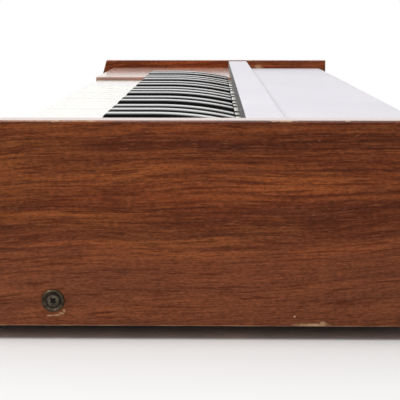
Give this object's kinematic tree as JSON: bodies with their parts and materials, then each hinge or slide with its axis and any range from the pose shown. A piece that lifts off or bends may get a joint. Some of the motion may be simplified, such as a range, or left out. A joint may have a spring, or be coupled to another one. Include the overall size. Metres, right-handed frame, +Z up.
{
  "type": "analog synthesizer",
  "caption": "Compact keyboard synthesizer with wooden end cheeks, sprung keys, a light top cover and controls on a leaning front panel.",
  "frame": {"origin": "on the standing surface, under the middle of the instrument's outer box", "axes": "+X along the keyboard towards the treble end, +Y away from the player, +Z up"},
  "size_m": [0.7492, 0.303, 0.123],
  "materials": {
    "wood": "satin veneer",
    "block_wood": "satin veneer",
    "cover_paint": "smooth paint",
    "case_paint": "fine texture paint",
    "panel_black": "matt paint",
    "case_steel": "zinc plated",
    "black_plastic": "moulded",
    "spring_steel": "bright",
    "board": "laminate",
    "transformer_iron": "varnished laminations",
    "foot_rubber": "matt",
    "screw_steel": "plated",
    "black_key": "gloss",
    "white_key": "gloss",
    "switch_white": "gloss",
    "control_black": "moulded"
  },
  "bodies": {
    "case": {"base_plate": "case_steel", "cheek_fasteners": "screw_steel", "circuit_boards": "board", "front_panel": "panel_black", "jack_block": "black_plastic", "key_frame": "case_steel", "key_springs": "spring_steel", "left_block": "block_wood", "left_cheek": "wood", "power_inlet": "black_plastic", "power_transformer": "transformer_iron", "rear_panel": "case_paint", "right_cheek": "wood", "rubber_feet": "foot_rubber", "top_cover": "cover_paint"},
    "key_a1": {"key_a1": "white_key"},
    "key_a2": {"key_a2": "white_key"},
    "key_a3": {"key_a3": "white_key"},
    "key_a_sharp1": {"key_a_sharp1": "black_key"},
    "key_a_sharp2": {"key_a_sharp2": "black_key"},
    "key_a_sharp3": {"key_a_sharp3": "black_key"},
    "key_b1": {"key_b1": "white_key"},
    "key_b2": {"key_b2": "white_key"},
    "key_b3": {"key_b3": "white_key"},
    "key_c1": {"key_c1": "white_key"},
    "key_c2": {"key_c2": "white_key"},
    "key_c3": {"key_c3": "white_key"},
    "key_c4": {"key_c4": "white_key"},
    "key_c_sharp1": {"key_c_sharp1": "black_key"},
    "key_c_sharp2": {"key_c_sharp2": "black_key"},
    "key_c_sharp3": {"key_c_sharp3": "black_key"},
    "key_d1": {"key_d1": "white_key"},
    "key_d2": {"key_d2": "white_key"},
    "key_d3": {"key_d3": "white_key"},
    "key_d_sharp1": {"key_d_sharp1": "black_key"},
    "key_d_sharp2": {"key_d_sharp2": "black_key"},
    "key_d_sharp3": {"key_d_sharp3": "black_key"},
    "key_e1": {"key_e1": "white_key"},
    "key_e2": {"key_e2": "white_key"},
    "key_e3": {"key_e3": "white_key"},
    "key_f1": {"key_f1": "white_key"},
    "key_f2": {"key_f2": "white_key"},
    "key_f3": {"key_f3": "white_key"},
    "key_f_sharp1": {"key_f_sharp1": "black_key"},
    "key_f_sharp2": {"key_f_sharp2": "black_key"},
    "key_f_sharp3": {"key_f_sharp3": "black_key"},
    "key_g1": {"key_g1": "white_key"},
    "key_g2": {"key_g2": "white_key"},
    "key_g3": {"key_g3": "white_key"},
    "key_g_sharp1": {"key_g_sharp1": "black_key"},
    "key_g_sharp2": {"key_g_sharp2": "black_key"},
    "key_g_sharp3": {"key_g_sharp3": "black_key"},
    "power_switch": {"power_switch": "switch_white"},
    "volume_knob": {"volume_knob": "control_black"},
    "tune_knob": {"tune_knob": "control_black"},
    "octave_switch": {"octave_switch": "switch_white"},
    "glide_slider": {"glide_slider": "control_black"},
    "waveform_knob": {"waveform_knob": "control_black"},
    "cutoff_slider": {"cutoff_slider": "control_black"},
    "resonance_slider": {"resonance_slider": "control_black"}
  },
  "joints": [
    {"name": "key_a1_press", "type": "hinge", "parent": "case", "child": "key_a1", "pos_m": [0, 0.078, 0.0963], "axis": [1, 0, 0], "range_deg": [0, 3.05], "stiffness_Nm_per_rad": 1.2, "springref_deg": -5.73},
    {"name": "key_a2_press", "type": "hinge", "parent": "case", "child": "key_a2", "pos_m": [0, 0.078, 0.0963], "axis": [1, 0, 0], "range_deg": [0, 3.05], "stiffness_Nm_per_rad": 1.2, "springref_deg": -5.73},
    {"name": "key_a3_press", "type": "hinge", "parent": "case", "child": "key_a3", "pos_m": [0, 0.078, 0.0963], "axis": [1, 0, 0], "range_deg": [0, 3.05], "stiffness_Nm_per_rad": 1.2, "springref_deg": -5.73},
    {"name": "key_a_sharp1_press", "type": "hinge", "parent": "case", "child": "key_a_sharp1", "pos_m": [0, 0.078, 0.0963], "axis": [1, 0, 0], "range_deg": [0, 3.05], "stiffness_Nm_per_rad": 1.2, "springref_deg": -5.73},
    {"name": "key_a_sharp2_press", "type": "hinge", "parent": "case", "child": "key_a_sharp2", "pos_m": [0, 0.078, 0.0963], "axis": [1, 0, 0], "range_deg": [0, 3.05], "stiffness_Nm_per_rad": 1.2, "springref_deg": -5.73},
    {"name": "key_a_sharp3_press", "type": "hinge", "parent": "case", "child": "key_a_sharp3", "pos_m": [0, 0.078, 0.0963], "axis": [1, 0, 0], "range_deg": [0, 3.05], "stiffness_Nm_per_rad": 1.2, "springref_deg": -5.73},
    {"name": "key_b1_press", "type": "hinge", "parent": "case", "child": "key_b1", "pos_m": [0, 0.078, 0.0963], "axis": [1, 0, 0], "range_deg": [0, 3.05], "stiffness_Nm_per_rad": 1.2, "springref_deg": -5.73},
    {"name": "key_b2_press", "type": "hinge", "parent": "case", "child": "key_b2", "pos_m": [0, 0.078, 0.0963], "axis": [1, 0, 0], "range_deg": [0, 3.05], "stiffness_Nm_per_rad": 1.2, "springref_deg": -5.73},
    {"name": "key_b3_press", "type": "hinge", "parent": "case", "child": "key_b3", "pos_m": [0, 0.078, 0.0963], "axis": [1, 0, 0], "range_deg": [0, 3.05], "stiffness_Nm_per_rad": 1.2, "springref_deg": -5.73},
    {"name": "key_c1_press", "type": "hinge", "parent": "case", "child": "key_c1", "pos_m": [0, 0.078, 0.0963], "axis": [1, 0, 0], "range_deg": [0, 3.05], "stiffness_Nm_per_rad": 1.2, "springref_deg": -5.73},
    {"name": "key_c2_press", "type": "hinge", "parent": "case", "child": "key_c2", "pos_m": [0, 0.078, 0.0963], "axis": [1, 0, 0], "range_deg": [0, 3.05], "stiffness_Nm_per_rad": 1.2, "springref_deg": -5.73},
    {"name": "key_c3_press", "type": "hinge", "parent": "case", "child": "key_c3", "pos_m": [0, 0.078, 0.0963], "axis": [1, 0, 0], "range_deg": [0, 3.05], "stiffness_Nm_per_rad": 1.2, "springref_deg": -5.73},
    {"name": "key_c4_press", "type": "hinge", "parent": "case", "child": "key_c4", "pos_m": [0, 0.078, 0.0963], "axis": [1, 0, 0], "range_deg": [0, 3.05], "stiffness_Nm_per_rad": 1.2, "springref_deg": -5.73},
    {"name": "key_c_sharp1_press", "type": "hinge", "parent": "case", "child": "key_c_sharp1", "pos_m": [0, 0.078, 0.0963], "axis": [1, 0, 0], "range_deg": [0, 3.05], "stiffness_Nm_per_rad": 1.2, "springref_deg": -5.73},
    {"name": "key_c_sharp2_press", "type": "hinge", "parent": "case", "child": "key_c_sharp2", "pos_m": [0, 0.078, 0.0963], "axis": [1, 0, 0], "range_deg": [0, 3.05], "stiffness_Nm_per_rad": 1.2, "springref_deg": -5.73},
    {"name": "key_c_sharp3_press", "type": "hinge", "parent": "case", "child": "key_c_sharp3", "pos_m": [0, 0.078, 0.0963], "axis": [1, 0, 0], "range_deg": [0, 3.05], "stiffness_Nm_per_rad": 1.2, "springref_deg": -5.73},
    {"name": "key_d1_press", "type": "hinge", "parent": "case", "child": "key_d1", "pos_m": [0, 0.078, 0.0963], "axis": [1, 0, 0], "range_deg": [0, 3.05], "stiffness_Nm_per_rad": 1.2, "springref_deg": -5.73},
    {"name": "key_d2_press", "type": "hinge", "parent": "case", "child": "key_d2", "pos_m": [0, 0.078, 0.0963], "axis": [1, 0, 0], "range_deg": [0, 3.05], "stiffness_Nm_per_rad": 1.2, "springref_deg": -5.73},
    {"name": "key_d3_press", "type": "hinge", "parent": "case", "child": "key_d3", "pos_m": [0, 0.078, 0.0963], "axis": [1, 0, 0], "range_deg": [0, 3.05], "stiffness_Nm_per_rad": 1.2, "springref_deg": -5.73},
    {"name": "key_d_sharp1_press", "type": "hinge", "parent": "case", "child": "key_d_sharp1", "pos_m": [0, 0.078, 0.0963], "axis": [1, 0, 0], "range_deg": [0, 3.05], "stiffness_Nm_per_rad": 1.2, "springref_deg": -5.73},
    {"name": "key_d_sharp2_press", "type": "hinge", "parent": "case", "child": "key_d_sharp2", "pos_m": [0, 0.078, 0.0963], "axis": [1, 0, 0], "range_deg": [0, 3.05], "stiffness_Nm_per_rad": 1.2, "springref_deg": -5.73},
    {"name": "key_d_sharp3_press", "type": "hinge", "parent": "case", "child": "key_d_sharp3", "pos_m": [0, 0.078, 0.0963], "axis": [1, 0, 0], "range_deg": [0, 3.05], "stiffness_Nm_per_rad": 1.2, "springref_deg": -5.73},
    {"name": "key_e1_press", "type": "hinge", "parent": "case", "child": "key_e1", "pos_m": [0, 0.078, 0.0963], "axis": [1, 0, 0], "range_deg": [0, 3.05], "stiffness_Nm_per_rad": 1.2, "springref_deg": -5.73},
    {"name": "key_e2_press", "type": "hinge", "parent": "case", "child": "key_e2", "pos_m": [0, 0.078, 0.0963], "axis": [1, 0, 0], "range_deg": [0, 3.05], "stiffness_Nm_per_rad": 1.2, "springref_deg": -5.73},
    {"name": "key_e3_press", "type": "hinge", "parent": "case", "child": "key_e3", "pos_m": [0, 0.078, 0.0963], "axis": [1, 0, 0], "range_deg": [0, 3.05], "stiffness_Nm_per_rad": 1.2, "springref_deg": -5.73},
    {"name": "key_f1_press", "type": "hinge", "parent": "case", "child": "key_f1", "pos_m": [0, 0.078, 0.0963], "axis": [1, 0, 0], "range_deg": [0, 3.05], "stiffness_Nm_per_rad": 1.2, "springref_deg": -5.73},
    {"name": "key_f2_press", "type": "hinge", "parent": "case", "child": "key_f2", "pos_m": [0, 0.078, 0.0963], "axis": [1, 0, 0], "range_deg": [0, 3.05], "stiffness_Nm_per_rad": 1.2, "springref_deg": -5.73},
    {"name": "key_f3_press", "type": "hinge", "parent": "case", "child": "key_f3", "pos_m": [0, 0.078, 0.0963], "axis": [1, 0, 0], "range_deg": [0, 3.05], "stiffness_Nm_per_rad": 1.2, "springref_deg": -5.73},
    {"name": "key_f_sharp1_press", "type": "hinge", "parent": "case", "child": "key_f_sharp1", "pos_m": [0, 0.078, 0.0963], "axis": [1, 0, 0], "range_deg": [0, 3.05], "stiffness_Nm_per_rad": 1.2, "springref_deg": -5.73},
    {"name": "key_f_sharp2_press", "type": "hinge", "parent": "case", "child": "key_f_sharp2", "pos_m": [0, 0.078, 0.0963], "axis": [1, 0, 0], "range_deg": [0, 3.05], "stiffness_Nm_per_rad": 1.2, "springref_deg": -5.73},
    {"name": "key_f_sharp3_press", "type": "hinge", "parent": "case", "child": "key_f_sharp3", "pos_m": [0, 0.078, 0.0963], "axis": [1, 0, 0], "range_deg": [0, 3.05], "stiffness_Nm_per_rad": 1.2, "springref_deg": -5.73},
    {"name": "key_g1_press", "type": "hinge", "parent": "case", "child": "key_g1", "pos_m": [0, 0.078, 0.0963], "axis": [1, 0, 0], "range_deg": [0, 3.05], "stiffness_Nm_per_rad": 1.2, "springref_deg": -5.73},
    {"name": "key_g2_press", "type": "hinge", "parent": "case", "child": "key_g2", "pos_m": [0, 0.078, 0.0963], "axis": [1, 0, 0], "range_deg": [0, 3.05], "stiffness_Nm_per_rad": 1.2, "springref_deg": -5.73},
    {"name": "key_g3_press", "type": "hinge", "parent": "case", "child": "key_g3", "pos_m": [0, 0.078, 0.0963], "axis": [1, 0, 0], "range_deg": [0, 3.05], "stiffness_Nm_per_rad": 1.2, "springref_deg": -5.73},
    {"name": "key_g_sharp1_press", "type": "hinge", "parent": "case", "child": "key_g_sharp1", "pos_m": [0, 0.078, 0.0963], "axis": [1, 0, 0], "range_deg": [0, 3.05], "stiffness_Nm_per_rad": 1.2, "springref_deg": -5.73},
    {"name": "key_g_sharp2_press", "type": "hinge", "parent": "case", "child": "key_g_sharp2", "pos_m": [0, 0.078, 0.0963], "axis": [1, 0, 0], "range_deg": [0, 3.05], "stiffness_Nm_per_rad": 1.2, "springref_deg": -5.73},
    {"name": "key_g_sharp3_press", "type": "hinge", "parent": "case", "child": "key_g_sharp3", "pos_m": [0, 0.078, 0.0963], "axis": [1, 0, 0], "range_deg": [0, 3.05], "stiffness_Nm_per_rad": 1.2, "springref_deg": -5.73},
    {"name": "power_switch_rock", "type": "hinge", "parent": "case", "child": "power_switch", "pos_m": [-0.28, -0.1248, 0.05545], "axis": [1, 0, 0], "range_deg": [0, 12]},
    {"name": "volume_knob_turn", "type": "hinge", "parent": "case", "child": "volume_knob", "pos_m": [-0.2, -0.12673, 0.056], "axis": [0, -0.9612, 0.2758], "range_deg": [-150, 150]},
    {"name": "tune_knob_turn", "type": "hinge", "parent": "case", "child": "tune_knob", "pos_m": [-0.12, -0.12673, 0.056], "axis": [0, -0.9612, 0.2758], "range_deg": [-150, 150]},
    {"name": "octave_switch_rock", "type": "hinge", "parent": "case", "child": "octave_switch", "pos_m": [-0.04, -0.1248, 0.05545], "axis": [1, 0, 0], "range_deg": [-12, 12]},
    {"name": "glide_slider_slide", "type": "slide", "parent": "case", "child": "glide_slider", "axis": [0, 0.2758, 0.9612], "range_m": [-0.015, 0.015]},
    {"name": "waveform_knob_turn", "type": "hinge", "parent": "case", "child": "waveform_knob", "pos_m": [0.12, -0.12673, 0.056], "axis": [0, -0.9612, 0.2758], "range_deg": [-150, 150]},
    {"name": "cutoff_slider_slide", "type": "slide", "parent": "case", "child": "cutoff_slider", "axis": [0, 0.2758, 0.9612], "range_m": [-0.015, 0.015]},
    {"name": "resonance_slider_slide", "type": "slide", "parent": "case", "child": "resonance_slider", "axis": [0, 0.2758, 0.9612], "range_m": [-0.015, 0.015]}
  ]
}
